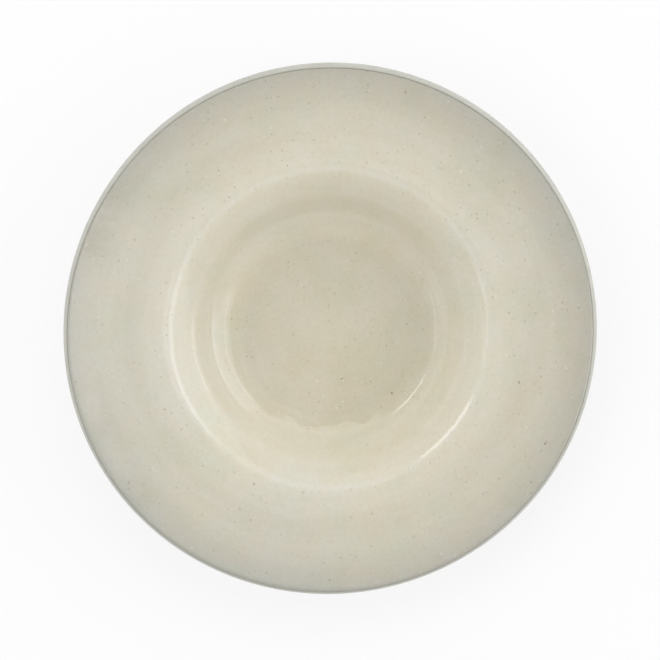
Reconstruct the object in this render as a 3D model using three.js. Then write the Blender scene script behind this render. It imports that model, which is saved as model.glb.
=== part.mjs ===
// A wide-rimmed stoneware pasta plate. One fired clay body stands on a bare foot ring, and three glaze
// coats are fused to it: a cream coat on the face, a pale coat over the lip and down the underside, and
// the same pale coat inside the foot ring. The two outer coats meet in a seam on the crown of the lip.
// Millimetres and +Z up. The origin is the centre of the plane that the foot ring stands on.
import * as THREE from "three";

// Face of the plate. All sizes but the first are the clay's, under its glaze.
const PLATE_DIAMETER = 280; // over the lip, glaze included
const WELL_DIAMETER = 179; // where the well's rounded edge runs out into the rim
const WELL_DEPTH = 22; // from that edge down to the floor
const WELL_EDGE_RADIUS = 28; // rounding between the rim and the well's wall
const WELL_FILLET_RADIUS = 16; // rounding between the well's wall and its floor
const FLOOR_DIAMETER = 105; // flat part of the floor
const STEEPEST_WALL = 60; // degrees, the most that the wall between the two roundings may rise
const RIM_SLOPE_INNER = 4; // degrees, the rim's rise beside the well
const RIM_SLOPE_OUTER = 12; // degrees, the rim's rise beside the lip

// Thickness and underside
const WALL_THICKNESS = 5; // of the well's wall, the rim and the lip
const UNDER_RIM_FILLET = 22; // hollow rounding below the well's edge
const FOOT_DIAMETER = 96; // outside of the foot ring, which stands on the floor of a plate below
const FOOT_WIDTH = 5.5; // across the foot ring
const FOOT_HEIGHT = 5; // from the table up to the underside of the well
const FOOT_FILLET = 2.5; // hollow rounding outside the foot ring
const FOOT_EDGE_RADIUS = 0.8; // rounding of the foot ring's two resting edges
const RECESS_DEPTH = 4; // hollow inside the foot ring
const RECESS_FILLET = 2; // hollow rounding inside the foot ring

// Glaze
const GLAZE_THICKNESS = 0.5;
const BOND_GAP = 0.05; // keeps the coats' surfaces apart from the clay's
const SEAM_ANGLE = 22; // degrees past the crown of the lip, where the two outer coats meet
const SEAM_GAP = 0.1; // between the two coats in that seam

// Fineness of the turned solids
const SIDES = 60; // around the plate
const CHORD_TOLERANCE = 0.1; // between a profile arc and its chords
const SAME_POINT = 1e-6; // profile points nearer than this are one point

const clay = new THREE.MeshStandardMaterial({ color: 0xc8b59a, roughness: 0.85, metalness: 0 });
const creamGlaze = new THREE.MeshStandardMaterial({ color: 0xcfc8b3, roughness: 0.15, metalness: 0 });
const paleGlaze = new THREE.MeshStandardMaterial({ color: 0xbbbbb4, roughness: 0.18, metalness: 0 });

const radians = THREE.MathUtils.degToRad;
const UP = Math.PI / 2;
const DOWN = -Math.PI / 2;

// The point at a distance from a centre, square to a slope: above the sloping line, or below it.
const above = (centre, slope, distance) =>
  new THREE.Vector2(centre.x - distance * Math.sin(slope), centre.y + distance * Math.cos(slope));
const below = (centre, slope, distance) => above(centre, slope, -distance);

// Heights and radii that the sizes above settle. In the profile, x is the radius and y the height.
const coatThickness = BOND_GAP + GLAZE_THICKNESS;
const clayRadius = PLATE_DIAMETER / 2 - coatThickness;
const lipRadius = WALL_THICKNESS / 2;
const floorHeight = FOOT_HEIGHT + WALL_THICKNESS;
const innerSlope = radians(RIM_SLOPE_INNER);
const outerSlope = radians(RIM_SLOPE_OUTER);
const seamAngle = radians(SEAM_ANGLE);
const rimStart = new THREE.Vector2(WELL_DIAMETER / 2, floorHeight + WELL_DEPTH);

// The rim is one hollow arc from the well's edge to the lip, and the lip is a half round on its end.
const rimRun = clayRadius - lipRadius * (1 + Math.sin(outerSlope)) - rimStart.x;
const rimRadius = rimRun / (Math.sin(outerSlope) - Math.sin(innerSlope));
const rimCentre = above(rimStart, innerSlope, rimRadius);
const lipCentre = below(rimCentre, outerSlope, rimRadius + lipRadius);

// The wall is the straight line that touches the floor's fillet and the well's edge. Where the run from the
// floor to the rim is too short for both roundings, they shrink together until the wall leans far enough.
const wallRun = rimStart.x - FLOOR_DIAMETER / 2;
const steepest = radians(STEEPEST_WALL);
const edgeShare = WELL_EDGE_RADIUS * (1 - Math.cos(steepest - innerSlope));
const filletShare = WELL_FILLET_RADIUS * (1 - Math.cos(steepest));
const room = wallRun * Math.sin(steepest) - WELL_DEPTH * Math.cos(steepest);
const roundingsFit = Math.min(1, room / (edgeShare + filletShare));
const filletRadius = WELL_FILLET_RADIUS * roundingsFit;
const edgeRadius = WELL_EDGE_RADIUS * roundingsFit;
const filletCentre = new THREE.Vector2(FLOOR_DIAMETER / 2, floorHeight + filletRadius);
const edgeCentre = below(rimStart, innerSlope, edgeRadius);
const centreLine = edgeCentre.clone().sub(filletCentre);
const centreSlope = Math.atan2(centreLine.y, centreLine.x);
const wallSlope = centreSlope + Math.asin((filletRadius + edgeRadius) / centreLine.length());

// Below, the hollow rounding touches the outside of the wall and the underside of the rim. Its centre climbs
// along the wall, from beside the wall's foot, until it is as near to the rim as to the wall.
const alongWall = new THREE.Vector2(Math.cos(wallSlope), Math.sin(wallSlope));
const besideFoot = below(filletCentre, wallSlope, filletRadius + WALL_THICKNESS + UNDER_RIM_FILLET);
const fromRim = besideFoot.clone().sub(rimCentre);
const reach = rimRadius + WALL_THICKNESS + UNDER_RIM_FILLET;
const fall = fromRim.dot(alongWall);
const climb = -fall - Math.sqrt(fall ** 2 - fromRim.lengthSq() + reach ** 2);
const underCentre = besideFoot.clone().addScaledVector(alongWall, climb);
const underSlope = Math.atan2(underCentre.x - rimCentre.x, rimCentre.y - underCentre.y);

// The foot's outer fillet touches the rounded underside of the well, or its flat middle on a small foot.
const footRadius = FOOT_DIAMETER / 2;
const footInnerRadius = footRadius - FOOT_WIDTH;
const undersideRadius = filletRadius + WALL_THICKNESS;
const footReach = Math.max(0, footRadius + FOOT_FILLET - filletCentre.x);
const footSlope = Math.asin(footReach / (undersideRadius + FOOT_FILLET));
const footFilletCentre = new THREE.Vector2(
  footRadius + FOOT_FILLET,
  below(filletCentre, footSlope, undersideRadius + FOOT_FILLET).y,
);

// Points on a profile arc about a centre, moved off the clay's arc by an offset. A coat's arc has as many
// steps as the clay's, so that their surfaces run side by side.
function arc(centre, radius, offset, from, to) {
  const widestStep = 2 * Math.acos(1 - CHORD_TOLERANCE / radius);
  const steps = Math.ceil(Math.abs(to - from) / widestStep);
  const reached = radius + offset;
  return new THREE.EllipseCurve(centre.x, centre.y, reached, reached, from, to, to < from).getPoints(steps);
}

// One run of points from several, without the doubles where they meet.
function joined(...runs) {
  const points = runs.flat();
  return points.filter((point, i) => i === 0 || point.distanceTo(points[i - 1]) > SAME_POINT);
}

// The face from the axis to the seam, raised off the clay by an offset.
function faceLine(offset) {
  return joined(
    [new THREE.Vector2(0, floorHeight + offset)],
    arc(filletCentre, filletRadius, -offset, DOWN, DOWN + wallSlope),
    arc(edgeCentre, edgeRadius, offset, UP + wallSlope, UP + innerSlope),
    arc(rimCentre, rimRadius, -offset, DOWN + innerSlope, DOWN + outerSlope),
    arc(lipCentre, lipRadius, offset, UP + outerSlope, UP - seamAngle),
  );
}

// The underside from a gap past the seam, round the lip and down to the bare foot ring.
function underLine(offset) {
  const gapAngle = SEAM_GAP / (lipRadius + offset);
  return joined(
    arc(lipCentre, lipRadius, offset, UP - seamAngle - gapAngle, 0),
    arc(lipCentre, lipRadius, offset, 0, DOWN + outerSlope),
    arc(rimCentre, rimRadius + WALL_THICKNESS, offset, DOWN + outerSlope, DOWN + underSlope),
    arc(underCentre, UNDER_RIM_FILLET, -offset, UP + underSlope, UP + wallSlope),
    arc(filletCentre, undersideRadius, offset, DOWN + wallSlope, DOWN + footSlope),
    arc(footFilletCentre, FOOT_FILLET, -offset, UP + footSlope, Math.PI),
  );
}

// The bare foot ring, from the end of its outer fillet to the start of the recess.
function footLine() {
  const outerEdge = new THREE.Vector2(footRadius - FOOT_EDGE_RADIUS, FOOT_EDGE_RADIUS);
  const innerEdge = new THREE.Vector2(footInnerRadius + FOOT_EDGE_RADIUS, FOOT_EDGE_RADIUS);
  return joined(
    arc(outerEdge, FOOT_EDGE_RADIUS, 0, 0, DOWN),
    arc(innerEdge, FOOT_EDGE_RADIUS, 0, DOWN, -Math.PI),
  );
}

// The recess from the foot ring's inner side to the axis, lowered off the clay by an offset.
function recessLine(offset) {
  const centre = new THREE.Vector2(footInnerRadius - RECESS_FILLET, RECESS_DEPTH - RECESS_FILLET);
  return joined(
    arc(centre, RECESS_FILLET, -offset, 0, UP),
    [new THREE.Vector2(0, RECESS_DEPTH - offset)],
  );
}

// Turns a clockwise profile round the plate's axis as one named solid.
function turned(name, profile, material) {
  const mesh = new THREE.Mesh(new THREE.LatheGeometry([...profile].reverse(), SIDES), material);
  mesh.name = name;
  mesh.rotation.x = UP;
  return mesh;
}

function stonewareBody() {
  const profile = [...faceLine(0), ...underLine(0), ...footLine(), ...recessLine(0)];
  return turned("stoneware_body", profile, clay);
}

function faceGlaze() {
  const profile = [...faceLine(coatThickness), ...faceLine(BOND_GAP).reverse()];
  return turned("face_glaze", profile, creamGlaze);
}

function undersideGlaze() {
  const ring = [...underLine(coatThickness), ...underLine(BOND_GAP).reverse()];
  return turned("underside_glaze", [...ring, ring[0]], paleGlaze);
}

function footRecessGlaze() {
  const profile = [...recessLine(BOND_GAP).reverse(), ...recessLine(coatThickness)];
  return turned("foot_recess_glaze", profile, paleGlaze);
}

const plate = new THREE.Group();
plate.name = "pasta_plate";
plate.add(stonewareBody(), faceGlaze(), undersideGlaze(), footRecessGlaze());

export default plate;
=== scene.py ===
"""Turns, glazes and lights a wide-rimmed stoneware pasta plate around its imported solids.

The clay body and the three coats of glaze are drawn as half sections, spun round the plate's axis and set
slightly out of round, as a plate that was thrown on a wheel. Lengths are metres and +Z is up.
"""

import math

import bmesh
import bpy
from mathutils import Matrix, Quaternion, Vector


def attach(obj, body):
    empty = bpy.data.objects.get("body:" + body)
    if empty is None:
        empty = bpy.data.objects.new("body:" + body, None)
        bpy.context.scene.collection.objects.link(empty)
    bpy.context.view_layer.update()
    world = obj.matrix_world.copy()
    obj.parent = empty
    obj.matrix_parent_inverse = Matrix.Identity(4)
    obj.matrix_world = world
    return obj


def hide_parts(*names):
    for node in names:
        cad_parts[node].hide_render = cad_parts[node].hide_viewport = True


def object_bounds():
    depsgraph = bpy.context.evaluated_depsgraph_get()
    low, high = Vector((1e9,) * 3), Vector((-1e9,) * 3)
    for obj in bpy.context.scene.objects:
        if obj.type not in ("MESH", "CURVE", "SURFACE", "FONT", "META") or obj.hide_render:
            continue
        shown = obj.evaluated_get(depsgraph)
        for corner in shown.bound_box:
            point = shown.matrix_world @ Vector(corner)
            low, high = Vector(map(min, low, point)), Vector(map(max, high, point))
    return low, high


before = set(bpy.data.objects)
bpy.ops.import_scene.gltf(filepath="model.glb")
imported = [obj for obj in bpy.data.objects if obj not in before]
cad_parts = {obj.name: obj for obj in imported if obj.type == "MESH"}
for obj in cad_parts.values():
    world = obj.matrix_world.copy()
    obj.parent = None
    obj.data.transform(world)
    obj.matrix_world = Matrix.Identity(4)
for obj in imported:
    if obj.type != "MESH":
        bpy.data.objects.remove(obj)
CAD_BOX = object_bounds()

bl_info = {
    "name": "Stoneware Pasta Plate",
    "version": (1, 0, 0),
    "blender": (4, 5, 0),
    "location": "View3D > Sidebar > Plate",
    "description": "Turns and glazes a stoneware pasta plate and sets it on a plain stage",
    "category": "Object",
}

BODY = "root"
UP = math.pi / 2
DOWN = -math.pi / 2

# Meshing
SAME_PLACE = 1e-6  # points nearer than this are one point
ON_RING = 5e-6  # an edge whose ends are nearer to a ring than this is part of it
FEWEST_STEPS = 4  # on any arc of the half section
EDGE_SEGMENTS = 3  # across the rounding of a coat's end
SMOOTH_BELOW = math.radians(50)  # edges that turn by less are shaded smooth
CAGE_WIDTH = 2.2  # of the lattice that draws the plate out of round, in radii of the lip
CAGE_POINTS = 9  # along each side of that lattice
TURNED_RADIUS = "turned_radius"  # a vertex's distance from the axis before the plate goes out of round

# Noise lies mostly within the first of these limits, and half of it or more within the second.
NOISE_SPAN = (0.3, 0.7)
NOISE_MIDDLE = (0.35, 0.65)
COOL_SPAN = (0.45, 0.7)  # cool spots cover the smaller part of the glaze

# What the cream glaze is multiplied by in its patches, clouds, cool spots, grain and marks of turning
PATCH_TINT = (0.978, 0.995, 1.03)
CLOUD_TINT = (1.0, 0.975, 0.945)
COOL_TINT = (0.96, 0.984, 0.965)
GRAIN_TINT = (0.93, 0.925, 0.915)
TURNING_TINT = (0.98, 0.98, 0.975)

# Finishes
GLAZE_RELIEF = 0.00005  # height of its fine relief
CLAY_RELIEF = 0.00012
GLAZE_IOR = 1.5
CLAY_IOR = 1.45
SPECK_FADE = 0.45  # a speck's edge fades over this share of the largest speck
SEAM_LINE = 0.0002  # half the width of the dark line at the seam
SEAM_INSIDE = 0.0022  # where the cream glaze starts to darken towards it
SEAM_OUTSIDE = 0.0009  # where the pale glaze has its own colour again

# Stage
FLOOR_SIZE = 12
FLOOR_DROP = 0.0003  # keeps the floor apart from the foot ring's face
FLOOR_WHITE = 0.8  # share of plain white in the floor that the camera sees

# How strongly the surroundings light the plate from the front, the back and above. The sides give way to the
# top between two heights, where straight up is 1.
FRONT_LEVEL = 0.57
BACK_LEVEL = 1.19
TOP_LEVEL = 0.395
TOP_STARTS = 0.42
TOP_FULL = 0.74

# A lamp's azimuth, elevation, width and height in degrees, as seen from the plate, its radiance against
# white, and the degrees that it is rolled where it doesn't stand level. The lights only shine on surfaces,
# and the reflections only show in the gloss.
LAMP_DISTANCE = 1.6
LIGHTS = {
    "light_right_low": (4, 26, 64, 30, 1.82),
    "light_back_high": (92, 58, 40, 25, 2.0),
    "light_left_high": (186, 52, 46, 30, 1.76),
    "light_front_low": (270, 26, 60, 30, 0.4),
}
REFLECTIONS = {
    "window_right": (19, 38, 50, 56, 1.15),
    "sill_right": (8, 12, 44, 7, 1.3),
    "strip_right": (10, 67.5, 28, 8, 2.2),
    "sheen_right": (-2, 82, 6, 4, 0.9),
    "sheen_right_low": (3, 77.5, 10, 6, 1.6),
    "window_back": (95, 57, 38, 30, 0.35),
    "window_left": (166, 25.6, 70, 60, 0.3, -43),
    "strip_left": (188, 50, 62, 5, 0.6, -43),
    "glint_left": (139, 63.5, 11, 7, 4.0),
    "edge_left": (184, 63, 15, 7, 1.4),
    "sheen_front": (240, 85.5, 8, 3.5, 0.9),
}

# Camera
CAMERA_HEIGHT = 1.3  # above the lip
CAMERA_SHIFT = -0.0007  # along Y, because the plate lies a little above the picture's middle
SENSOR_WIDTH = 36.0  # millimetres
PICTURE_PIXELS = 660
LIP_PIXELS = 266.9  # radius of the lip in the picture


def length(name, description, default):
    """A length that the user can change."""
    return bpy.props.FloatProperty(
        name=name,
        description=description,
        default=default,
        min=0.0,
        precision=5,
        subtype="DISTANCE",
        unit="LENGTH",
    )


def angle(name, description, degrees):
    """An angle that the user can change."""
    return bpy.props.FloatProperty(
        name=name, description=description, default=math.radians(degrees), subtype="ANGLE"
    )


def colour(name, description, default):
    """A colour that the user can change."""
    return bpy.props.FloatVectorProperty(
        name=name, description=description, default=default, size=3, min=0.0, max=1.0, subtype="COLOR"
    )


class PlateSizes(bpy.types.PropertyGroup):
    """Sizes of the plate's half section, on the clay unless the description says otherwise."""

    plate_diameter: length("Plate diameter", "Across the lip, glaze included", CAD_BOX[1].x - CAD_BOX[0].x)
    well_diameter: length("Well diameter", "Where the well's rounded edge runs out into the rim", 0.179)
    well_depth: length("Well depth", "From that edge down to the floor", 0.022)
    well_edge: length("Well edge", "Rounding between the rim and the well's wall", 0.028)
    well_fillet: length("Well fillet", "Rounding between the well's wall and its floor", 0.016)
    floor_diameter: length("Floor diameter", "Flat part of the floor", 0.105)
    rim_slope_inner: angle("Inner rim slope", "The rim's rise beside the well", 4)
    rim_slope_outer: angle("Outer rim slope", "The rim's rise beside the lip", 12)
    wall: length("Wall", "Thickness of the wall, the rim and the lip", 0.005)
    under_fillet: length("Under-rim fillet", "Hollow rounding below the well's edge", 0.022)
    foot_diameter: length("Foot diameter", "Outside of the foot ring", 0.096)
    foot_width: length("Foot width", "Across the foot ring", 0.0055)
    foot_height: length("Foot height", "From the table up to the underside of the well", 0.005)
    foot_fillet: length("Foot fillet", "Hollow rounding outside the foot ring", 0.0025)
    foot_edge: length("Foot edge", "Rounding of the foot ring's resting edges", 0.0008)
    recess_depth: length("Recess depth", "Hollow inside the foot ring", 0.004)
    recess_fillet: length("Recess fillet", "Hollow rounding inside the foot ring", 0.002)
    glaze: length("Glaze thickness", "Thickness of each coat", 0.0005)
    bond: length("Bond gap", "Between each coat and the clay", 0.00005)
    seam_angle: angle("Seam angle", "Where the two outer coats meet, past the crown of the lip", 22)
    seam_gap: length("Seam gap", "Between the two coats at the seam", 0.0001)
    seam_back: angle("Seam set back", "How far the seam slips back towards the crown", 8)
    seam_swing: angle("Seam swing", "How far it swings out towards -Y and in towards +Y", 20)
    bead: length("Glaze bead", "How far the glaze swells where it was wiped off the foot ring", 0.00035)
    coat_edge: length("Coat edge", "Rounding of a coat's ends", 0.00018)
    oval: length("Oval", "How far the lip stands out along its longer axis", 0.00075)
    oval_turn: angle("Oval turn", "Where that longer axis lies, from +X", 34.5)
    lobes: length("Lobes", "How far the lip stands out in three places", 0.00030)
    lobe_turn: angle("Lobe turn", "Where one of those places lies, from +X", -25)
    unevenness: length("Unevenness", "Height of the soft waves in the thrown surface", 0.0005)
    wave_size: length("Wave size", "Size of those waves along the surface", 0.04)
    ring_spacing: length("Ring spacing", "Between the rings of faces on rounded parts", 0.0012)
    sides: bpy.props.IntProperty(name="Sides", description="Faces around the plate", default=256, min=16)


class PlateColours(bpy.types.PropertyGroup):
    """Colours of the clay, the glazes and the stage."""

    cream_floor: colour("Cream, floor", "Face glaze on the floor of the well", (0.619, 0.571, 0.435))
    # Painted shade: a darker ring on the floor near the foot of the wall, where shade falls in the corner.
    cream_corner_shade: colour("Cream, corner", "Face glaze towards the foot of the wall", (0.58, 0.534, 0.411))
    # Painted highlight: this lighter band at the foot of the wall towards -Y stands in for a reflection, not
    # for glaze that ran together.
    cream_painted_highlight: colour("Cream, pooled", "Face glaze that ran together below the wall", (0.685, 0.645, 0.515))
    # Painted light: lighter than the upper wall, to lift the shade low on the wall.
    cream_low_wall_painted_light: colour("Cream, lower wall", "Face glaze low on the wall", (0.688, 0.646, 0.524))
    cream_wall: colour("Cream, wall", "Face glaze on the upper part of the wall", (0.668, 0.629, 0.511))
    # Partly painted highlight: the glaze thins over the edge, and this whiter colour also stands in for the
    # highlight along it.
    cream_edge_and_highlight: colour("Cream, edge", "Face glaze where it thins over the well's edge", (0.697, 0.672, 0.573))
    cream_rim: colour("Cream, rim", "Face glaze on the inner part of the rim", (0.665, 0.63, 0.52))
    cream_middle: colour("Cream, mid rim", "Face glaze on the middle of the rim", (0.60, 0.565, 0.46))
    cream_outer: colour("Cream, outer rim", "Face glaze where the rim begins to grey", (0.585, 0.555, 0.455))
    grey_rim: colour("Grey, rim", "Face glaze on the outer part of the rim", (0.51, 0.486, 0.405))
    grey_lip: colour("Grey, lip", "Face glaze where it thins on the lip", (0.475, 0.46, 0.395))
    seam: colour("Seam line", "Line where the two outer coats meet", (0.42, 0.413, 0.36))
    speck: colour("Specks", "Iron specks in the face glaze", (0.17, 0.135, 0.09))
    fleck: colour("Flecks", "Light flecks in the face glaze", (0.80, 0.78, 0.70))
    pale: colour("Pale glaze", "Glaze on the lip, the underside and the foot's recess", (0.522, 0.519, 0.465))
    pale_speck: colour("Pale glaze specks", "Specks in the pale glaze", (0.24, 0.22, 0.19))
    clay: colour("Clay", "Bare fired clay of the foot ring", (0.53, 0.41, 0.28))
    clay_grain: colour("Clay grain", "Dark grains in the bare clay", (0.22, 0.15, 0.10))
    floor: colour("Stage floor", "Plain floor under the plate", (0.92, 0.92, 0.92))


class HalfSection:
    """The plate's half section. A point is (radius, height), and an offset moves a line off the clay."""

    def __init__(self, sizes):
        self.sizes = sizes
        self.coat = sizes.bond + sizes.glaze
        self.floor_height = sizes.foot_height + sizes.wall

        # Rim and lip
        self.lip = sizes.wall / 2
        self.inner, self.outer = sizes.rim_slope_inner, sizes.rim_slope_outer
        rim_start = Vector((sizes.well_diameter / 2, self.floor_height + sizes.well_depth))
        clay_radius = sizes.plate_diameter / 2 - self.coat
        rim_run = clay_radius - self.lip * (1 + math.sin(self.outer)) - rim_start.x
        self.rim = rim_run / (math.sin(self.outer) - math.sin(self.inner))
        self.rim_centre = self.above(rim_start, self.inner, self.rim)
        self.lip_centre = self.above(self.rim_centre, self.outer, -self.rim - self.lip)
        self.seam = UP - sizes.seam_angle

        # Wall of the well, straight between the floor's rounding and the edge's
        self.fillet_centre = Vector((sizes.floor_diameter / 2, self.floor_height + sizes.well_fillet))
        self.edge_centre = self.above(rim_start, self.inner, -sizes.well_edge)
        between = self.edge_centre - self.fillet_centre
        lean = math.asin((sizes.well_fillet + sizes.well_edge) / between.length)
        self.wall_slope = math.atan2(between.y, between.x) + lean

        # Hollow rounding below, which touches the wall's outside and the rim's underside
        along = Vector((math.cos(self.wall_slope), math.sin(self.wall_slope)))
        self.bowl = sizes.well_fillet + sizes.wall
        beside_foot = self.above(self.fillet_centre, self.wall_slope, -self.bowl - sizes.under_fillet)
        from_rim = beside_foot - self.rim_centre
        reach = self.rim + sizes.wall + sizes.under_fillet
        fall = from_rim.dot(along)
        climb = -fall - math.sqrt(fall**2 - from_rim.length_squared + reach**2)
        self.under_centre = beside_foot + climb * along
        leaning = self.under_centre - self.rim_centre
        self.under_slope = math.atan2(leaning.x, -leaning.y)

        # Foot ring
        self.foot = sizes.foot_diameter / 2
        self.foot_inner = self.foot - sizes.foot_width
        foot_reach = max(0.0, self.foot + sizes.foot_fillet - self.fillet_centre.x)
        self.foot_slope = math.asin(foot_reach / (self.bowl + sizes.foot_fillet))
        low = self.above(self.fillet_centre, self.foot_slope, -self.bowl - sizes.foot_fillet)
        self.foot_centre = Vector((self.foot + sizes.foot_fillet, low.y))

    @staticmethod
    def above(point, slope, distance):
        """The point at a distance above a sloping line, square to it."""
        return Vector((point.x - distance * math.sin(slope), point.y + distance * math.cos(slope)))

    def arc(self, centre, radius, offset, start, end, spacing=1.0):
        """Points on an arc, as many at any offset as on the clay, a number of ring spacings apart."""
        run = abs(end - start) * radius
        steps = max(FEWEST_STEPS, math.ceil(run / (self.sizes.ring_spacing * spacing)))
        turns = [start + (end - start) * step / steps for step in range(steps + 1)]
        return [centre + (radius + offset) * Vector((math.cos(turn), math.sin(turn))) for turn in turns]

    def straight(self, start, end, spacing):
        """Points on a straight line, without its start."""
        steps = max(1, math.ceil((end - start).length / (self.sizes.ring_spacing * spacing)))
        return [start.lerp(end, step / steps) for step in range(1, steps + 1)]

    def face(self, offset):
        """The face from the axis over floor, wall and rim to the seam."""
        fillet, edge = self.sizes.well_fillet, self.sizes.well_edge
        slope, inner, outer = self.wall_slope, self.inner, self.outer
        axis = Vector((0, self.floor_height + offset))
        corner = self.arc(self.fillet_centre, fillet, -offset, DOWN, DOWN + slope)
        crest = self.arc(self.edge_centre, edge, offset, UP + slope, UP + inner, spacing=0.8)
        rim = self.arc(self.rim_centre, self.rim, -offset, DOWN + inner, DOWN + outer, spacing=1.8)
        lip = self.arc(self.lip_centre, self.lip, offset, UP + outer, self.seam, spacing=0.25)
        floor = [axis] + self.straight(axis, corner[0], spacing=3)
        wall = self.straight(corner[-1], crest[0], spacing=1.8)
        return joined(floor, corner, wall, crest, rim, lip)

    def underside(self, offset, bead=0.0):
        """The underside from a gap past the seam, round the lip and down to the bare foot ring."""
        hollow, fillet = self.sizes.under_fillet, self.sizes.foot_fillet
        rim_under = self.rim + self.sizes.wall
        slope, under, outer, foot = self.wall_slope, self.under_slope, self.outer, self.foot_slope
        seam = self.seam - self.sizes.seam_gap / (self.lip + offset)
        lip = self.arc(self.lip_centre, self.lip, offset, seam, DOWN + outer, spacing=0.3)
        rim = self.arc(self.rim_centre, rim_under, offset, DOWN + outer, DOWN + under, spacing=1.8)
        bend = self.arc(self.under_centre, hollow, -offset, UP + under, UP + slope)
        bowl = self.arc(self.fillet_centre, self.bowl, offset, DOWN + slope, DOWN + foot, spacing=1.4)
        wall = self.straight(bend[-1], bowl[0], spacing=1.8)
        ring = self.arc(self.foot_centre, fillet, -offset, UP + foot, math.pi, spacing=0.4)
        return joined(lip, rim, bend, wall, bowl, self.swollen(ring, self.foot_centre, bead))

    def foot_ring(self):
        """The bare foot ring between its outer fillet and its recess."""
        edge = self.sizes.foot_edge
        outer = self.arc(Vector((self.foot - edge, edge)), edge, 0, 0, DOWN, spacing=0.2)
        inner = self.arc(Vector((self.foot_inner + edge, edge)), edge, 0, DOWN, -math.pi, spacing=0.2)
        return joined(outer, self.straight(outer[-1], inner[0], spacing=0.8), inner)

    def recess(self, offset, bead=0.0):
        """The recess from the foot ring's inner side to the axis."""
        fillet, depth = self.sizes.recess_fillet, self.sizes.recess_depth
        centre = Vector((self.foot_inner - fillet, depth - fillet))
        bend = self.arc(centre, fillet, -offset, 0, UP, spacing=0.4)
        bend = self.swollen(bend[::-1], centre, bead)[::-1]
        return joined(bend, self.straight(bend[-1], Vector((0, depth - offset)), spacing=3))

    @staticmethod
    def swollen(points, centre, bead):
        """A hollow arc whose last points are drawn in towards its centre, as a swelling of the glaze."""
        start, steepness = 0.5, 1.6  # where along the arc the swelling starts, and how soon it is over
        last = len(points) - 1
        along = [min(1.0, steepness * max(0.0, i / last - start)) for i in range(last + 1)]
        rises = [bead * math.sin(math.pi * share) for share in along]
        return [point + rise * (centre - point).normalized() for point, rise in zip(points, rises)]


def joined(*runs):
    """One run of points from several, without the doubles where they meet."""
    points = [point for run in runs for point in run]
    pairs = zip(points[1:], points)
    return points[:1] + [point for point, before in pairs if (point - before).length > SAME_PLACE]


def seam_radius(sizes):
    """The distance from the axis to the seam, as turned, on the outside of the coats."""
    half = HalfSection(sizes)
    return half.face(half.coat)[-1].x


def in_section(place):
    """Where a point of the turned plate lies in the half section."""
    return Vector((math.hypot(place.x, place.y), place.z))


def turned(name, section, sides):
    """Draws a half section from a single vertex by extruding it, and spins it into a closed piece."""
    bpy.ops.object.select_all(action="DESELECT")
    bpy.ops.mesh.primitive_plane_add(size=0.001, location=(0, 0, 0))
    piece = bpy.context.active_object
    piece.name = name
    piece.data.name = name
    bpy.ops.object.mode_set(mode="EDIT")
    bpy.ops.mesh.select_mode(type="VERT")
    bpy.ops.mesh.select_all(action="SELECT")
    bpy.ops.mesh.merge(type="CENTER")
    bpy.ops.transform.translate(value=(section[0].x, 0, section[0].y))
    for before, point in zip(section, section[1:]):
        step = (point.x - before.x, 0, point.y - before.y)
        bpy.ops.mesh.extrude_region_move(TRANSFORM_OT_translate={"value": step})
    bpy.ops.mesh.select_all(action="SELECT")
    bpy.ops.mesh.remove_doubles(threshold=SAME_PLACE)
    bpy.ops.mesh.spin(steps=sides, angle=2 * math.pi, center=(0, 0, 0), axis=(0, 0, 1), use_auto_merge=True)
    bpy.ops.mesh.select_all(action="SELECT")
    bpy.ops.mesh.remove_doubles(threshold=SAME_PLACE)
    bpy.ops.mesh.normals_make_consistent(inside=False)
    bpy.ops.object.mode_set(mode="OBJECT")
    return piece


def round_ring(piece, point, width):
    """Bevels the ring of edges at one point of the half section."""
    bpy.ops.object.mode_set(mode="EDIT")
    bpy.ops.mesh.select_mode(type="EDGE")
    bpy.ops.mesh.select_all(action="DESELECT")
    mesh = bmesh.from_edit_mesh(piece.data)
    for edge in mesh.edges:
        ends = [in_section(vertex.co) for vertex in edge.verts]
        edge.select_set(all((end - point).length < ON_RING for end in ends))
    bmesh.update_edit_mesh(piece.data)
    bpy.ops.mesh.bevel(offset=width, segments=EDGE_SEGMENTS, affect="EDGES")
    bpy.ops.object.mode_set(mode="OBJECT")


def note_turned_radius(piece):
    """Keeps each vertex's distance from the axis, for the finishes that follow the turning."""
    radii = [math.hypot(vertex.co.x, vertex.co.y) for vertex in piece.data.vertices]
    attribute = piece.data.attributes.new(TURNED_RADIUS, "FLOAT", "POINT")
    attribute.data.foreach_set("value", radii)


def swing_seam(piece, sizes):
    """Slides the meeting line of the two outer coats along the lip, so that it runs off centre."""
    half = HalfSection(sizes)
    farthest = half.lip + half.coat + SAME_PLACE
    middle = sizes.seam_angle
    for vertex in piece.data.vertices:
        turn = math.atan2(vertex.co.y, vertex.co.x)
        arm = in_section(vertex.co) - half.lip_centre
        lean = math.atan2(arm.x, arm.y)
        if arm.length > farthest or not -half.outer < lean < UP:
            continue
        seam = middle - sizes.seam_back - sizes.seam_swing * math.sin(turn)
        if lean < middle:
            lean = seam - (middle - lean) * (seam + half.outer) / (middle + half.outer)
        else:
            lean = seam + (lean - middle) * (UP - seam) / (UP - middle)
        swung = half.lip_centre + arm.length * Vector((math.sin(lean), math.cos(lean)))
        vertex.co = (swung.x * math.cos(turn), swung.x * math.sin(turn), swung.y)


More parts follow.
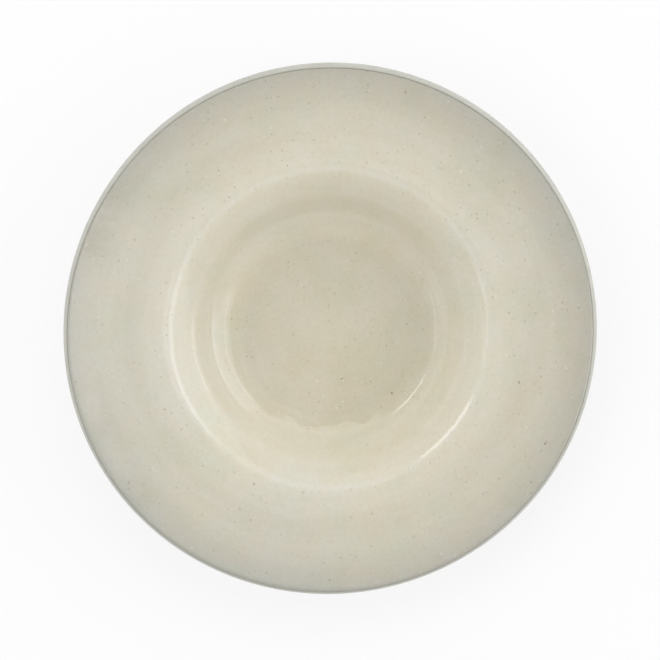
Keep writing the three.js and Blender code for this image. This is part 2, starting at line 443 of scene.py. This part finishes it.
def make_uneven(piece, sizes):
    """Raises the soft waves of a thrown surface, the same in clay and glaze, and none at the foot ring."""
    texture = bpy.data.textures.get("thrown_waves") or bpy.data.textures.new("thrown_waves", "CLOUDS")
    texture.noise_scale = sizes.wave_size
    texture.noise_depth = 1
    group = piece.vertex_groups.new(name="above_foot")
    lowest, full = sizes.foot_height * 0.6, sizes.foot_height * 3  # where the waves start and are whole
    for vertex in piece.data.vertices:
        share = (vertex.co.z - lowest) / (full - lowest)
        group.add([vertex.index], min(1.0, max(0.0, share)), "REPLACE")
    waves = piece.modifiers.new("thrown_waves", "DISPLACE")
    waves.texture = texture
    waves.texture_coords = "LOCAL"
    waves.direction = "Z"
    waves.mid_level = 0.5
    waves.strength = sizes.unevenness
    waves.vertex_group = group.name
    bpy.ops.object.modifier_apply(modifier=waves.name)
    piece.vertex_groups.clear()


def set_out_of_round(piece, sizes):
    """Draws the plate slightly oval and lobed, more towards the lip and not at all at the table."""
    lip = sizes.plate_diameter / 2
    height = CAD_BOX[1].z
    bpy.ops.object.add(type="LATTICE", location=(0, 0, height / 2))
    cage = bpy.context.active_object
    cage.scale = (CAGE_WIDTH * lip, CAGE_WIDTH * lip, height)
    cage.data.points_u = CAGE_POINTS
    cage.data.points_v = CAGE_POINTS
    cage.data.points_w = 2
    cage.data.interpolation_type_w = "KEY_LINEAR"
    bpy.context.view_layer.update()
    for point in cage.data.points:
        place = cage.matrix_world @ point.co
        turn = math.atan2(place.y, place.x)
        share = (math.hypot(place.x, place.y) / lip) ** 2 * max(0.0, place.z / height)
        oval = sizes.oval * math.cos(2 * (turn - sizes.oval_turn))
        lobes = sizes.lobes * math.cos(3 * (turn - sizes.lobe_turn))
        moved = place + share * (oval + lobes) * Vector((math.cos(turn), math.sin(turn), 0))
        point.co_deform = cage.matrix_world.inverted() @ moved
    bpy.ops.object.select_all(action="DESELECT")
    piece.select_set(True)
    bpy.context.view_layer.objects.active = piece
    drawn = piece.modifiers.new("out_of_round", "LATTICE")
    drawn.object = cage
    bpy.ops.object.modifier_apply(modifier=drawn.name)
    bpy.data.objects.remove(cage)


def settle(piece, sizes, finish, node):
    """Gives a turned piece its hand-made form and its finish, and hands it over for its solid."""
    note_turned_radius(piece)
    if node != "stoneware_body":  # the clay has no seam
        swing_seam(piece, sizes)
    make_uneven(piece, sizes)
    set_out_of_round(piece, sizes)
    bpy.ops.object.shade_smooth_by_angle(angle=SMOOTH_BELOW)
    piece.data.materials.clear()
    piece.data.materials.append(finish)
    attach(piece, BODY)
    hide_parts(node)


def opaque(tint, dimmed=1.0):
    """A colour for a socket, dimmed by a factor."""
    return (*(dimmed * part for part in tint), 1.0)


class NodeSheet:
    """A node tree in the making. What a node takes in is a value or another node's output."""

    def __init__(self, tree):
        self.tree = tree
        self.tree.nodes.clear()

    def add(self, kind, settings=None, **inputs):
        """Adds a node. An input is named with _ for a space."""
        node = self.tree.nodes.new(kind)
        for name, value in (settings or {}).items():
            setattr(node, name, value)
        for name, value in inputs.items():
            self.feed(node.inputs[name.replace("_", " ")], value)
        return node

    def feed(self, socket, value):
        """Sets a socket to a value, or links another node's output to it."""
        if isinstance(value, bpy.types.NodeSocket):
            self.tree.links.new(value, socket)
        else:
            socket.default_value = value

    def math(self, operation, first, second, clamp=False):
        """A sum, product or other operation on two numbers."""
        node = self.add("ShaderNodeMath", {"operation": operation, "use_clamp": clamp})
        self.feed(node.inputs[0], first)
        self.feed(node.inputs[1], second)
        return node.outputs[0]

    def linear(self, value, low=0.0, to_low=0.0, to_high=1.0):
        """A number moved evenly from a range up to 1 to another range."""
        node = self.add("ShaderNodeMapRange", Value=value, From_Min=low, To_Min=to_low, To_Max=to_high)
        return node.outputs["Result"]

    def ranged(self, value, low, high, to_low=0.0, to_high=1.0):
        """A number moved smoothly from one range to another."""
        node = self.add("ShaderNodeMapRange", {"interpolation_type": "SMOOTHSTEP"}, Value=value)
        for name, limit in (("From Min", low), ("From Max", high), ("To Min", to_low), ("To Max", to_high)):
            self.feed(node.inputs[name], limit)
        return node.outputs["Result"]

    def seen_directly(self):
        """1 for what the camera sees straight on, in a gloss or through glass, and 0 for other light."""
        path = self.add("ShaderNodeLightPath").outputs
        seen = self.math("MAXIMUM", path["Is Camera Ray"], path["Is Glossy Ray"])
        return self.math("MAXIMUM", seen, path["Is Transmission Ray"])


class Finish(NodeSheet):
    """A node material in the making, with Object coordinates and one glossy or matte shader."""

    def __init__(self, name):
        self.material = bpy.data.materials.new(name)
        self.material.use_nodes = True
        super().__init__(self.material.node_tree)
        self.shader = self.add("ShaderNodeBsdfPrincipled")
        self.add("ShaderNodeOutputMaterial", Surface=self.shader.outputs["BSDF"])
        self.place = self.add("ShaderNodeTexCoord").outputs["Object"]

    def mixed(self, share, first, second, blend="MIX"):
        """Two colours mixed by a share. The node's sockets share their names, so they go by number."""
        node = self.add("ShaderNodeMix", {"data_type": "RGBA", "blend_type": blend})
        for number, value in ((0, share), (6, first), (7, second)):
            self.feed(node.inputs[number], value)
        return node.outputs[2]

    def tinted(self, share, base, tint):
        """A colour multiplied by a tint, by a share."""
        return self.mixed(share, base, opaque(tint), "MULTIPLY")

    def noise(self, per_metre, detail=2.0, roughness=0.5, place=None):
        """Soft noise with so many patches to a metre, or to one unit of another place."""
        node = self.add("ShaderNodeTexNoise", Vector=place or self.place, Scale=per_metre)
        self.feed(node.inputs["Detail"], detail)
        self.feed(node.inputs["Roughness"], roughness)
        return node.outputs["Fac"]

    def shift(self, noise, width):
        """Noise as a shift to either side, within a width."""
        return self.math("MULTIPLY", self.math("SUBTRACT", noise, 0.5), width)

    def bands(self, around, per_metre):
        """Noise drawn out round the plate's axis, as the marks of turning are."""
        turn = self.add("ShaderNodeVectorMath", {"operation": "SCALE"}, Scale=around)
        self.feed(turn.inputs[0], self.facing())
        height = self.add("ShaderNodeCombineXYZ", Z=self.math("MULTIPLY", self.radius(), per_metre))
        place = self.add("ShaderNodeVectorMath", {"operation": "ADD"})
        self.feed(place.inputs[0], turn.outputs["Vector"])
        self.feed(place.inputs[1], height.outputs["Vector"])
        return self.noise(1.0, place=place.outputs["Vector"])

    def facing(self):
        """The direction from the plate's axis, one long."""
        across = self.add("ShaderNodeVectorMath", {"operation": "MULTIPLY"})
        self.feed(across.inputs[0], self.place)
        self.feed(across.inputs[1], (1.0, 1.0, 0.0))
        facing = self.add("ShaderNodeVectorMath", {"operation": "NORMALIZE"})
        self.feed(facing.inputs[0], across.outputs["Vector"])
        return facing.outputs["Vector"]

    def radius(self):
        """The distance from the plate's axis, as turned."""
        return self.add("ShaderNodeAttribute", {"attribute_name": TURNED_RADIUS}).outputs["Fac"]

    def specks(self, per_metre, bare, largest, faintest, darkest):
        """Round specks of mixed sizes. Bare is the share of cells with none, largest a share of a cell."""
        cells = self.add("ShaderNodeTexVoronoi", Vector=self.place, Scale=per_metre).outputs
        chance = self.add("ShaderNodeSeparateColor", Color=cells["Color"]).outputs
        size = self.linear(chance["Red"], low=bare, to_high=largest)
        inside = self.math("SUBTRACT", size, cells["Distance"])
        speck = self.math("DIVIDE", inside, largest * SPECK_FADE, clamp=True)
        return self.math("MULTIPLY", speck, self.linear(chance["Green"], to_low=faintest, to_high=darkest))

    def by_radius(self, stops, outermost, waver):
        """A colour by the distance from the axis. A stop is a radius, which wavers, and its colour."""
        wavering = self.shift(self.noise(per_metre=110), waver)
        distance = self.math("ADD", self.radius(), wavering)
        ramp = self.add("ShaderNodeValToRGB", Fac=self.math("DIVIDE", distance, outermost))
        ramp.color_ramp.interpolation = "LINEAR"
        elements = ramp.color_ramp.elements
        while len(elements) < len(stops):
            elements.new(0.5)
        for element, (radius, tint) in zip(elements, stops):
            element.position = radius / outermost
            element.color = opaque(tint)
        return ramp.outputs["Color"]

    def bumped(self, height, distance):
        """A fine relief of the surface."""
        bump = self.add("ShaderNodeBump", Height=height, Strength=1.0, Distance=distance)
        self.feed(self.shader.inputs["Normal"], bump.outputs["Normal"])

    def set(self, **inputs):
        """Sets or links the shader's own sockets."""
        for name, value in inputs.items():
            self.feed(self.shader.inputs[name.replace("_", " ")], value)
        return self.material


def cream_stops(sizes, colours):
    """The cream glaze's colours by their distance from the axis, from the floor's middle to the seam, painted
    shade and light among them.
    """
    floor, well, lip = sizes.floor_diameter / 2, sizes.well_diameter / 2, sizes.plate_diameter / 2
    seam = seam_radius(sizes)
    return [
        (0.0, colours.cream_floor),
        # Painted shade: a darker ring on the floor just inside the foot of the wall.
        (0.87 * floor, colours.cream_corner_shade),
        (floor, colours.cream_floor),
        # Painted light low on the wall, against the shade there.
        (0.72 * well, colours.cream_low_wall_painted_light),
        (0.78 * well, colours.cream_low_wall_painted_light),
        (0.84 * well, colours.cream_wall),
        (0.915 * well, colours.cream_wall),
        # Partly painted highlight along the well's edge, where the glaze also thins.
        (0.943 * well, colours.cream_edge_and_highlight),
        (0.97 * well, colours.cream_rim),
        (1.02 * well, colours.cream_rim),
        (0.75 * lip, colours.cream_middle),
        (0.835 * lip, colours.cream_outer),
        (0.93 * lip, colours.grey_rim),
        (seam - SEAM_INSIDE, colours.grey_lip),
        (seam - SEAM_LINE, colours.seam),
    ]


def painted_highlight_share(finish, sizes):
    """1 where a highlight is painted at the foot of the wall, towards -Y, with an uneven inner edge."""
    corner = sizes.floor_diameter / 2
    sector = (-0.93, -0.82)  # along Y, about 22 and 35 degrees to either side of -Y
    inner_edge = (corner - 0.0008, corner + 0.0002)
    outer_edge = (corner + 0.003, corner + 0.006)
    runs_between = 0.012  # how far in and out the inner edge runs, in all
    facing = finish.add("ShaderNodeSeparateXYZ", Vector=finish.facing()).outputs["Y"]
    towards = finish.ranged(facing, *sector, to_low=1.0, to_high=0.0)
    runs = finish.shift(finish.noise(4.5, detail=0.0, place=finish.facing()), runs_between)
    inside = finish.ranged(finish.math("ADD", finish.radius(), runs), *inner_edge)
    outside = finish.ranged(finish.radius(), *outer_edge, to_low=1.0, to_high=0.0)
    return finish.math("MULTIPLY", towards, finish.math("MULTIPLY", inside, outside))


def clouded(finish, tint):
    """The cream glaze's broad patches, clouds, cool spots, fine grain and faint marks of turning."""
    patches = finish.ranged(finish.noise(per_metre=11, detail=1.0), *NOISE_MIDDLE, to_low=1.0, to_high=0.0)
    tint = finish.tinted(patches, tint, PATCH_TINT)
    clouds = finish.ranged(finish.noise(per_metre=75, detail=3.0, roughness=0.6), *NOISE_MIDDLE)
    tint = finish.tinted(clouds, tint, CLOUD_TINT)
    cool = finish.ranged(finish.noise(per_metre=48), *COOL_SPAN)
    tint = finish.tinted(cool, tint, COOL_TINT)
    grain = finish.ranged(finish.noise(per_metre=480), *NOISE_SPAN, to_high=0.5)
    tint = finish.tinted(grain, tint, GRAIN_TINT)
    turning = finish.ranged(finish.bands(around=1.2, per_metre=170), *NOISE_MIDDLE)
    return finish.tinted(turning, tint, TURNING_TINT)


def specks_shown(finish, sizes):
    """How clearly specks show: fully on the floor and the rim, and fainter on the wall."""
    floor, well = sizes.floor_diameter / 2, sizes.well_diameter / 2
    fade, hidden = 0.012, 0.6
    up_wall = finish.ranged(finish.radius(), floor, floor + fade)
    past_wall = finish.ranged(finish.radius(), well - fade, well)
    on_wall = finish.math("SUBTRACT", up_wall, past_wall)
    return finish.math("SUBTRACT", 1.0, finish.math("MULTIPLY", on_wall, hidden))


def cream_glaze(sizes, colours):
    """Glossy cream glaze, warmer in the well, greying towards the lip, with iron specks, clouding, and
    painted shade and highlights.
    """
    finish = Finish("cream_speckled_glaze")
    tint = finish.by_radius(cream_stops(sizes, colours), sizes.plate_diameter / 2, waver=0.002)
    # Painted highlight at the foot of the wall, towards -Y.
    tint = finish.mixed(painted_highlight_share(finish, sizes), tint, opaque(colours.cream_painted_highlight))
    tint = clouded(finish, tint)
    shown = specks_shown(finish, sizes)
    fine = finish.specks(per_metre=360, bare=0.05, largest=0.31, faintest=0.08, darkest=0.33)
    coarse = finish.specks(per_metre=150, bare=0.5, largest=0.13, faintest=0.22, darkest=0.72)
    specks = finish.math("MULTIPLY", finish.math("MAXIMUM", fine, coarse), shown)
    tint = finish.mixed(specks, tint, opaque(colours.speck))
    light = finish.specks(per_metre=290, bare=0.5, largest=0.24, faintest=0.1, darkest=0.4)
    flecks = finish.math("MULTIPLY", light, shown)
    tint = finish.mixed(flecks, tint, opaque(colours.fleck))
    pits = finish.math("MULTIPLY", specks, 0.4)
    finish.bumped(finish.math("SUBTRACT", finish.noise(per_metre=260), pits), GLAZE_RELIEF)
    gloss = finish.ranged(finish.noise(per_metre=90), *NOISE_SPAN, to_low=0.07, to_high=0.11)
    return finish.set(Base_Color=tint, Roughness=gloss, IOR=GLAZE_IOR)


def pale_glaze(sizes, colours):
    """Glossy pale grey glaze, darker along the seam, with faint specks."""
    finish = Finish("pale_grey_glaze")
    clouds = finish.ranged(finish.noise(per_metre=55, detail=3.0, roughness=0.6), *NOISE_MIDDLE)
    tint = finish.mixed(clouds, opaque(colours.pale), opaque(colours.pale, dimmed=0.94))
    seam = seam_radius(sizes)
    outside = finish.ranged(finish.radius(), seam + SEAM_LINE, seam + SEAM_OUTSIDE, to_low=1.0, to_high=0.0)
    inside = finish.ranged(finish.radius(), seam - 2 * SEAM_LINE, seam - SEAM_LINE)
    tint = finish.mixed(finish.math("MULTIPLY", outside, inside), tint, opaque(colours.seam))
    specks = finish.specks(per_metre=400, bare=0.4, largest=0.22, faintest=0.10, darkest=0.4)
    tint = finish.mixed(specks, tint, opaque(colours.pale_speck))
    finish.bumped(finish.noise(per_metre=240), GLAZE_RELIEF)
    gloss = finish.ranged(finish.noise(per_metre=90), *NOISE_SPAN, to_low=0.14, to_high=0.22)
    return finish.set(Base_Color=tint, Roughness=gloss, IOR=GLAZE_IOR)


def bare_clay(colours):
    """Matte sandy clay with fine dark grains."""
    finish = Finish("bare_stoneware")
    clouds = finish.ranged(finish.noise(per_metre=120, detail=4.0, roughness=0.6), *NOISE_SPAN)
    tint = finish.mixed(clouds, opaque(colours.clay), opaque(colours.clay, dimmed=0.82))
    grains = finish.specks(per_metre=900, bare=0.55, largest=0.3, faintest=0.2, darkest=0.8)
    tint = finish.mixed(grains, tint, opaque(colours.clay_grain))
    raised = finish.math("MULTIPLY", grains, 0.5)
    sand = finish.noise(per_metre=1400, detail=3.0, roughness=0.7)
    finish.bumped(finish.math("ADD", sand, raised), CLAY_RELIEF)
    matte = finish.ranged(clouds, 0.0, 1.0, to_low=0.78, to_high=0.92)
    return finish.set(Base_Color=tint, Roughness=matte, IOR=CLAY_IOR)


class PLATE_OT_clay_body(bpy.types.Operator):
    """Turn the fired clay body, which shows bare on its foot ring"""

    bl_idname = "plate.clay_body"
    bl_label = "Clay Body"

    def execute(self, context):
        sizes, colours = context.scene.plate_sizes, context.scene.plate_colours
        half = HalfSection(sizes)
        section = joined(half.face(0), half.underside(0), half.foot_ring(), half.recess(0))
        piece = turned("fired_clay_body", section, sizes.sides // 2)
        settle(piece, sizes, bare_clay(colours), "stoneware_body")
        return {"FINISHED"}


class PLATE_OT_face_glaze(bpy.types.Operator):
    """Coat the floor, the wall and the rim with cream glaze, up to the seam on the lip"""

    bl_idname = "plate.face_glaze"
    bl_label = "Face Glaze"

    def execute(self, context):
        sizes, colours = context.scene.plate_sizes, context.scene.plate_colours
        half = HalfSection(sizes)
        outer, inner = half.face(half.coat), half.face(sizes.bond)
        piece = turned("cream_face_glaze", outer + inner[::-1], sizes.sides)
        round_ring(piece, outer[-1], sizes.coat_edge)
        settle(piece, sizes, cream_glaze(sizes, colours), "face_glaze")
        return {"FINISHED"}


class PLATE_OT_underside_glazes(bpy.types.Operator):
    """Coat the lip and the underside, and the recess in the foot ring, with pale glaze"""

    bl_idname = "plate.underside_glazes"
    bl_label = "Underside Glazes"

    def execute(self, context):
        sizes, colours = context.scene.plate_sizes, context.scene.plate_colours
        half = HalfSection(sizes)
        finish = pale_glaze(sizes, colours)
        outer, inner = half.underside(half.coat, sizes.bead), half.underside(sizes.bond)
        under = turned("pale_underside_glaze", outer + inner[::-1] + outer[:1], sizes.sides)
        round_ring(under, outer[0], sizes.coat_edge)
        round_ring(under, outer[-1], sizes.coat_edge)
        settle(under, sizes, finish, "underside_glaze")
        outer, inner = half.recess(half.coat, sizes.bead), half.recess(sizes.bond)
        recess = turned("pale_foot_recess_glaze", inner[::-1] + outer, sizes.sides)
        round_ring(recess, outer[0], sizes.coat_edge)
        settle(recess, sizes, finish, "foot_recess_glaze")
        return {"FINISHED"}


def pale_floor(colours):
    """Pale floor that the camera sees near to white, with the plate's shadow still on it."""
    material = bpy.data.materials.new("pale_floor")
    material.use_nodes = True
    sheet = NodeSheet(material.node_tree)
    matte = sheet.add("ShaderNodeBsdfDiffuse", Color=opaque(colours.floor))
    white = sheet.add("ShaderNodeEmission")
    mix = sheet.add("ShaderNodeMixShader", Fac=sheet.math("MULTIPLY", sheet.seen_directly(), FLOOR_WHITE))
    sheet.feed(mix.inputs[1], matte.outputs["BSDF"])
    sheet.feed(mix.inputs[2], white.outputs["Emission"])
    sheet.add("ShaderNodeOutputMaterial", Surface=mix.outputs["Shader"])
    return material


def light_surroundings(scene):
    """White surroundings that light the plate more from the back than the front, and least from above."""
    world = scene.world or bpy.data.worlds.new("studio")
    scene.world = world
    world.use_nodes = True
    sheet = NodeSheet(world.node_tree)
    towards = sheet.add("ShaderNodeTexCoord").outputs["Generated"]
    direction = sheet.add("ShaderNodeSeparateXYZ", Vector=towards).outputs
    sides = sheet.linear(direction["Y"], low=-1.0, to_low=FRONT_LEVEL, to_high=BACK_LEVEL)
    light = sheet.ranged(direction["Z"], TOP_STARTS, TOP_FULL, to_low=sides, to_high=TOP_LEVEL)
    level = sheet.add("ShaderNodeMix", Factor=sheet.seen_directly(), A=light, B=1.0)
    white = opaque((1.0, 1.0, 1.0))
    sky = sheet.add("ShaderNodeBackground", Color=white, Strength=level.outputs["Result"])
    sheet.add("ShaderNodeOutputWorld", Surface=sky.outputs["Background"])


def soft_lamp(name, azimuth, elevation, wide, high, radiance, roll=0.0):
    """An area lamp that faces the plate, given by the degrees that it fills as seen from the plate."""
    across, up = math.radians(azimuth), math.radians(elevation)
    towards = Vector((math.cos(across) * math.cos(up), math.sin(across) * math.cos(up), math.sin(up)))
    facing = (-towards).to_track_quat("-Z", "Y") @ Quaternion((0, 0, 1), math.radians(roll))
    bpy.ops.object.light_add(type="AREA", location=towards * LAMP_DISTANCE, rotation=facing.to_euler())
    lamp = bpy.context.active_object
    lamp.name = name
    lamp.data.shape = "RECTANGLE"
    lamp.data.size = 2 * LAMP_DISTANCE * math.tan(math.radians(wide / 2))
    lamp.data.size_y = 2 * LAMP_DISTANCE * math.tan(math.radians(high / 2))
    lamp.data.energy = radiance * math.pi * lamp.data.size * lamp.data.size_y
    return lamp


def look_down(scene, lip):
    """Puts a camera straight above the plate, with the lens that gives the lip its size in the picture."""
    place = (0, CAMERA_SHIFT, CAD_BOX[1].z + CAMERA_HEIGHT)
    bpy.ops.object.camera_add(location=place, rotation=(0, 0, 0))
    camera = bpy.context.active_object
    camera.name = "camera_above"
    camera.data.sensor_width = SENSOR_WIDTH
    camera.data.lens = LIP_PIXELS / PICTURE_PIXELS * SENSOR_WIDTH * CAMERA_HEIGHT / lip
    scene.camera = camera


class PLATE_OT_stage(bpy.types.Operator):
    """Lay a pale floor, light it softly and look straight down at the plate"""

    bl_idname = "plate.stage"
    bl_label = "Stage"

    def execute(self, context):
        scene = context.scene
        bpy.ops.object.select_all(action="DESELECT")
        bpy.ops.mesh.primitive_plane_add(size=FLOOR_SIZE, location=(0, 0, -FLOOR_DROP))
        floor = bpy.context.active_object
        floor.name = "stage_floor"
        floor.data.materials.append(pale_floor(scene.plate_colours))
        light_surroundings(scene)
        for name, lamp in LIGHTS.items():
            soft_lamp(name, *lamp).visible_glossy = False
        for name, lamp in REFLECTIONS.items():
            soft_lamp(name, *lamp).visible_diffuse = False
        look_down(scene, scene.plate_sizes.plate_diameter / 2)
        scene.view_settings.view_transform = "Standard"
        return {"FINISHED"}


class PLATE_PT_panel(bpy.types.Panel):
    """Sizes, colours and steps of the plate"""

    bl_idname = "PLATE_PT_panel"
    bl_label = "Stoneware Pasta Plate"
    bl_space_type = "VIEW_3D"
    bl_region_type = "UI"
    bl_category = "Plate"

    def draw(self, context):
        layout = self.layout
        for step in STEPS:
            layout.operator(step.bl_idname)
        for group in (context.scene.plate_sizes, context.scene.plate_colours):
            box = layout.box()
            for name in group.__annotations__:
                box.prop(group, name)


STEPS = (PLATE_OT_clay_body, PLATE_OT_face_glaze, PLATE_OT_underside_glazes, PLATE_OT_stage)
CLASSES = (PlateSizes, PlateColours, *STEPS, PLATE_PT_panel)


def register():
    for cls in CLASSES:
        bpy.utils.register_class(cls)
    bpy.types.Scene.plate_sizes = bpy.props.PointerProperty(type=PlateSizes)
    bpy.types.Scene.plate_colours = bpy.props.PointerProperty(type=PlateColours)


def unregister():
    del bpy.types.Scene.plate_colours
    del bpy.types.Scene.plate_sizes
    for cls in reversed(CLASSES):
        bpy.utils.unregister_class(cls)


def main():
    """Makes the plate and its stage."""
    register()
    bpy.ops.plate.clay_body()
    bpy.ops.plate.face_glaze()
    bpy.ops.plate.underside_glazes()
    bpy.ops.plate.stage()


if __name__ == "__main__":
    main()
